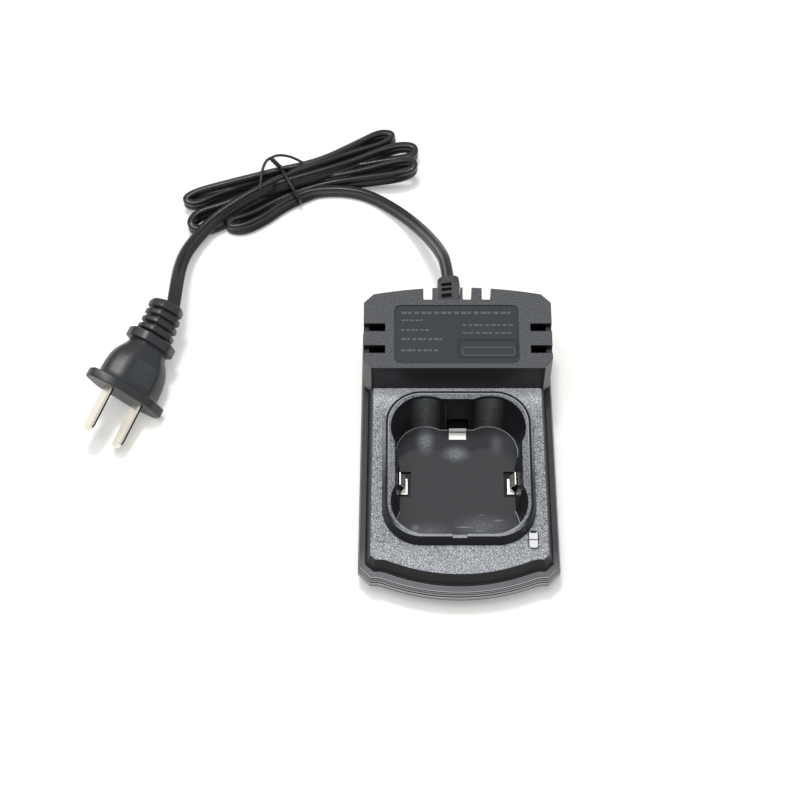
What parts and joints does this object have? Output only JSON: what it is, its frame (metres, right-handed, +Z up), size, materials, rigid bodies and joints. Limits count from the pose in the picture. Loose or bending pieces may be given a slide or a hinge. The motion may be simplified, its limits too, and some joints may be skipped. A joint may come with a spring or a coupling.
{
  "type": "power tool battery charger",
  "caption": "Desk-top battery charger: raised rear block with vents, collared four-lobed battery well with spring contacts, flat cord tied in a hank and a two-blade plug.",
  "frame": {"origin": "under the middle of the case, on the surface that its feet rest on", "axes": "+Z up; -Y is the front edge with the indicator; +Y is the rear wall with the cord; +X is to the right seen from the front"},
  "size_m": [0.1672, 0.1984, 0.034],
  "materials": {
    "housing_plastic": "spark-eroded grain, injection moulded ABS",
    "floor_plastic": "glossy moulded ABS",
    "clear_plastic": "clear moulded polycarbonate",
    "screw_steel": "zinc plated",
    "foot_rubber": "matt rubber",
    "contact_nickel": "nickel plated spring strip",
    "board_laminate": "green solder mask",
    "core_ferrite": "matt ferrite",
    "bobbin_plastic": "moulded nylon",
    "winding_copper": "enamelled copper",
    "capacitor_sleeve": "shrunk vinyl sleeve",
    "fuse_glass": "clear glass",
    "disc_lacquer": "dipped lacquer",
    "component_epoxy": "moulded epoxy",
    "resistor_lacquer": "beige lacquer",
    "sink_aluminium": "extruded",
    "red_lamp_resin": "tinted resin",
    "green_lamp_resin": "tinted resin",
    "wire_vinyl": "vinyl insulation",
    "relief_vinyl": "moulded soft vinyl",
    "cord_vinyl": "extruded vinyl",
    "tie_vinyl": "vinyl over wire",
    "plug_vinyl": "moulded soft vinyl, fine grain",
    "blade_nickel": "nickel plated brass"
  },
  "bodies": {
    "case": {"top_housing": "housing_plastic", "bottom_housing": "housing_plastic", "well_floor": "floor_plastic", "indicator_lens": "clear_plastic", "housing_screws": "screw_steel", "rubber_feet": "foot_rubber", "circuit_board": "board_laminate", "transformer_core": "core_ferrite", "transformer_bobbin": "bobbin_plastic", "transformer_winding": "winding_copper", "input_capacitor": "capacitor_sleeve", "output_capacitor": "capacitor_sleeve", "line_choke": "core_ferrite", "fuse": "fuse_glass", "suppression_capacitor": "disc_lacquer", "bridge_diodes": "component_epoxy", "resistors": "resistor_lacquer", "heat_sink": "sink_aluminium", "power_transistor": "component_epoxy", "control_chip": "component_epoxy", "red_lamp": "red_lamp_resin", "green_lamp": "green_lamp_resin", "lamp_board": "board_laminate", "mains_wires": "wire_vinyl", "contact_wires": "wire_vinyl", "lamp_wires": "wire_vinyl", "cord_strain_relief": "relief_vinyl", "cord_lead": "cord_vinyl", "cord_tail": "cord_vinyl", "cord_hank": "cord_vinyl", "wire_tie": "tie_vinyl", "plug_body": "plug_vinyl", "plug_blades": "blade_nickel"},
    "left_spring": {"left_contact": "contact_nickel"},
    "right_spring": {"right_contact": "contact_nickel"},
    "rear_spring": {"rear_contact": "contact_nickel"}
  },
  "joints": [
    {"name": "left_contact_flex", "type": "hinge", "parent": "case", "child": "left_spring", "pos_m": [-0.0201, -0.00958, 0.0029], "axis": [0, -1, 0], "range_deg": [0, 8], "stiffness_Nm_per_rad": 0.05},
    {"name": "right_contact_flex", "type": "hinge", "parent": "case", "child": "right_spring", "pos_m": [0.0201, -0.00958, 0.0029], "axis": [0, 1, 0], "range_deg": [0, 8], "stiffness_Nm_per_rad": 0.05},
    {"name": "rear_contact_flex", "type": "hinge", "parent": "case", "child": "rear_spring", "pos_m": [0.00025, 0.0118, 0.0041], "axis": [-1, 0, 0], "range_deg": [0, 8], "stiffness_Nm_per_rad": 0.05}
  ]
}
